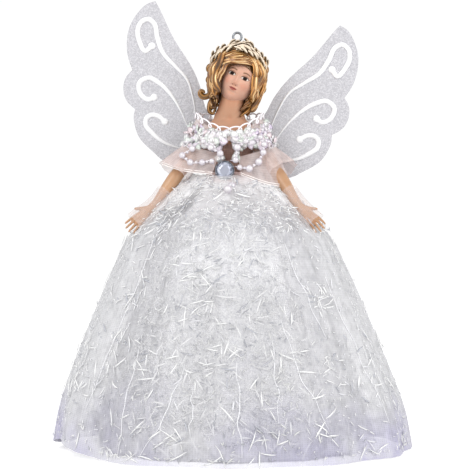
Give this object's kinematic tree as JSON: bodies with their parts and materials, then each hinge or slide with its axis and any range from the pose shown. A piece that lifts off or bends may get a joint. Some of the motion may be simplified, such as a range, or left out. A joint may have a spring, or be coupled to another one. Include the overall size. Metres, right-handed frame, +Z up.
{
  "type": "angel ornament",
  "caption": "Angel half doll with pinned arms, glitter wings, pearl trim, a hanging eye and a layered tinsel skirt over a hollow card cone that fits a tree top.",
  "frame": {"origin": "middle of the overall box at the height of the cone's foot, on the surface the angel stands on", "axes": "+Z up, -Y towards the side the angel faces, +X to the viewer's right as seen from the front"},
  "size_m": [0.1796, 0.1796, 0.2251],
  "materials": {
    "card": "matt card",
    "organza": "sheer white organza with a lavender cast at the hem",
    "tinsel": "white net full of short shiny tinsel strands",
    "lining": "white lining cloth",
    "blush_organza": "sheer blush organza",
    "lace": "iridescent white lace",
    "skin": "painted, satin",
    "gold_hair": "painted gold over brown, satin",
    "cream_paint": "painted cream, satin",
    "silver_wire": "bright",
    "rhinestone": "clear, foil backed",
    "pearl": "pearl coated",
    "wing_glitter": "fine silver glitter",
    "white_relief": "raised white glitter paint"
  },
  "bodies": {
    "doll": {"support_cone": "card", "overskirt": "organza", "tinsel_net": "tinsel", "underskirt": "lining", "left_ribbon_tail": "blush_organza", "right_ribbon_tail": "blush_organza", "bust": "skin", "hair": "gold_hair", "tiara": "cream_paint", "hang_ring": "silver_wire", "waist_sash": "blush_organza", "organza_bodice": "blush_organza", "lace_collar": "lace", "neckline_braid": "lace", "left_sleeve": "blush_organza", "right_sleeve": "blush_organza", "brooch_setting": "silver_wire", "brooch_gem": "rhinestone", "left_pearl_swag": "pearl", "right_pearl_swag": "pearl", "inner_left_pearls": "pearl", "inner_right_pearls": "pearl", "pearl_drop": "pearl", "left_wing": "wing_glitter", "right_wing": "wing_glitter", "left_upper_scroll": "white_relief", "left_middle_scroll": "white_relief", "left_lower_scroll": "white_relief", "right_upper_scroll": "white_relief", "right_middle_scroll": "white_relief", "right_lower_scroll": "white_relief"},
    "left_arm": {"left_arm": "skin"},
    "right_arm": {"right_arm": "skin"}
  },
  "joints": [
    {"name": "left_shoulder", "type": "hinge", "parent": "doll", "child": "left_arm", "pos_m": [-0.01411, 0.0005, 0.15548], "axis": [-1, 0, 0], "range_deg": [0, 25], "deforming": ["left_sleeve", "lace_collar", "left_pearl_swag"]},
    {"name": "right_shoulder", "type": "hinge", "parent": "doll", "child": "right_arm", "pos_m": [0.01097, 0.0005, 0.15548], "axis": [-1, 0, 0], "range_deg": [0, 25], "deforming": ["right_sleeve", "lace_collar", "right_pearl_swag"]}
  ]
}
